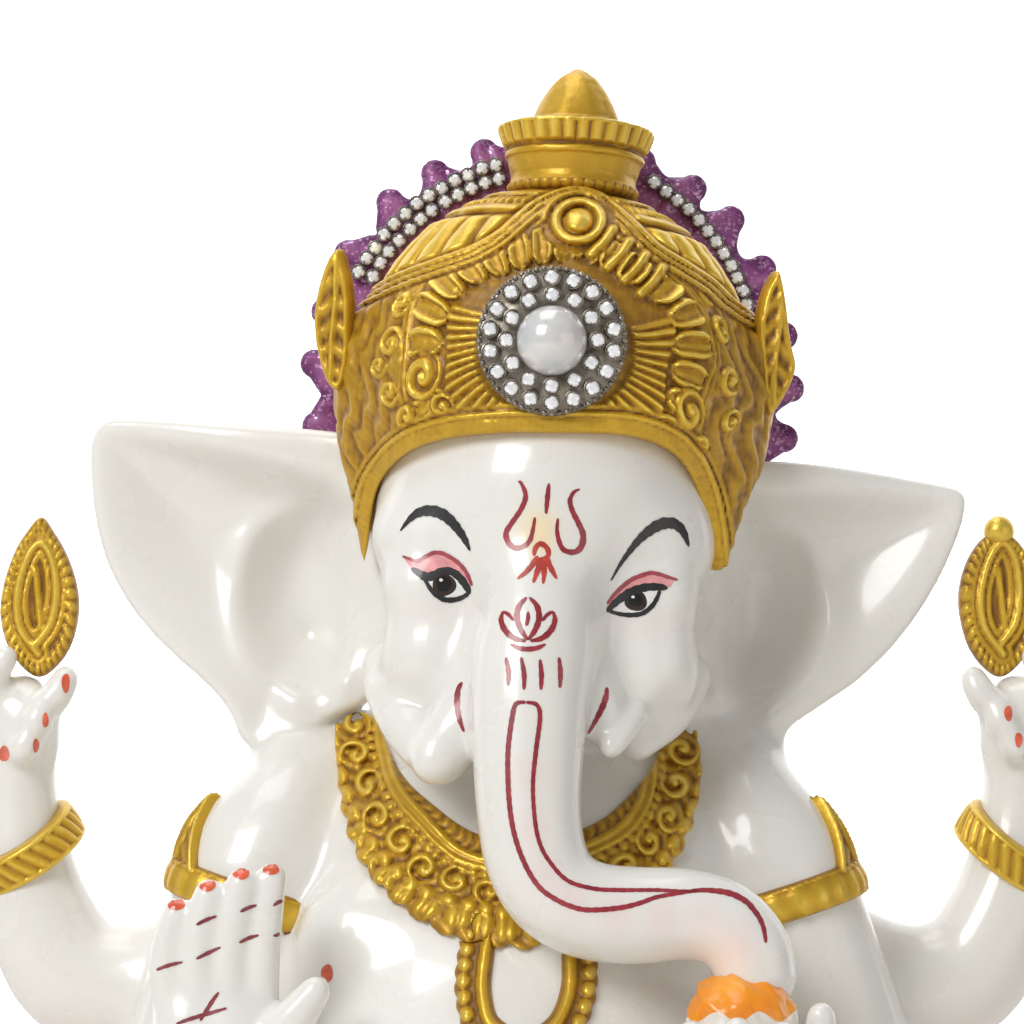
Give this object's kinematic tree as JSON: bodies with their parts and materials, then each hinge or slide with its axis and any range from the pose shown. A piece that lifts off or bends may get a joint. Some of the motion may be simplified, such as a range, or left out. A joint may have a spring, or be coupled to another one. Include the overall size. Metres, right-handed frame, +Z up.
{
  "type": "ganesha idol",
  "caption": "Seated four-armed elephant-headed devotional figure with gilded crown, scalloped purple halo and rhinestone brooch, on an oval plinth.",
  "frame": {"origin": "centre of the underside of the felt pad, on the surface the idol stands on", "axes": "+Z up, the figure faces -Y, +X towards the figure's own left hand (the viewer's right)"},
  "size_m": [0.176, 0.124, 0.2288],
  "materials": {
    "white_enamel": "gloss",
    "gold_paint": "satin",
    "purple_glitter": "gloss",
    "clear_stone": "polished",
    "stone_setting": "satin",
    "pearl": "gloss",
    "orange_paint": "gloss",
    "dhoti_paint": "gloss",
    "plinth_paint": "gloss",
    "felt": "matte",
    "base_card": "matte",
    "steel_pin": "satin"
  },
  "bodies": {
    "root": {"base_plate": "base_card", "brooch_cups": "stone_setting", "brooch_disc": "stone_setting", "brooch_pearl": "pearl", "brooch_stones": "clear_stone", "chain_cups": "stone_setting", "chain_stones": "clear_stone", "crown_cap": "gold_paint", "crown_finial": "gold_paint", "crown_tiara": "gold_paint", "felt_pad": "felt", "finial_pin": "steel_pin", "front_arm_pins": "steel_pin", "front_left_arm": "white_enamel", "front_left_bangle": "gold_paint", "front_right_arm": "white_enamel", "front_right_bangle": "gold_paint", "halo_frill": "purple_glitter", "hanging_loop": "gold_paint", "head": "white_enamel", "laddu": "orange_paint", "left_armlet": "gold_paint", "left_crown_wing": "gold_paint", "left_ear": "white_enamel", "left_ear_pin": "steel_pin", "left_foot": "white_enamel", "left_hand_finial": "gold_paint", "left_tusk": "white_enamel", "legs": "dhoti_paint", "neck_dowel": "steel_pin", "necklace": "gold_paint", "plinth": "plinth_paint", "rear_arm_pins": "steel_pin", "rear_left_arm": "white_enamel", "rear_left_bangle": "gold_paint", "rear_right_arm": "white_enamel", "rear_right_bangle": "gold_paint", "right_armlet": "gold_paint", "right_crown_wing": "gold_paint", "right_ear": "white_enamel", "right_ear_pin": "steel_pin", "right_foot": "white_enamel", "right_hand_finial": "gold_paint", "right_tusk": "white_enamel", "seat_dowels": "steel_pin", "torso": "white_enamel"}
  },
  "joints": []
}
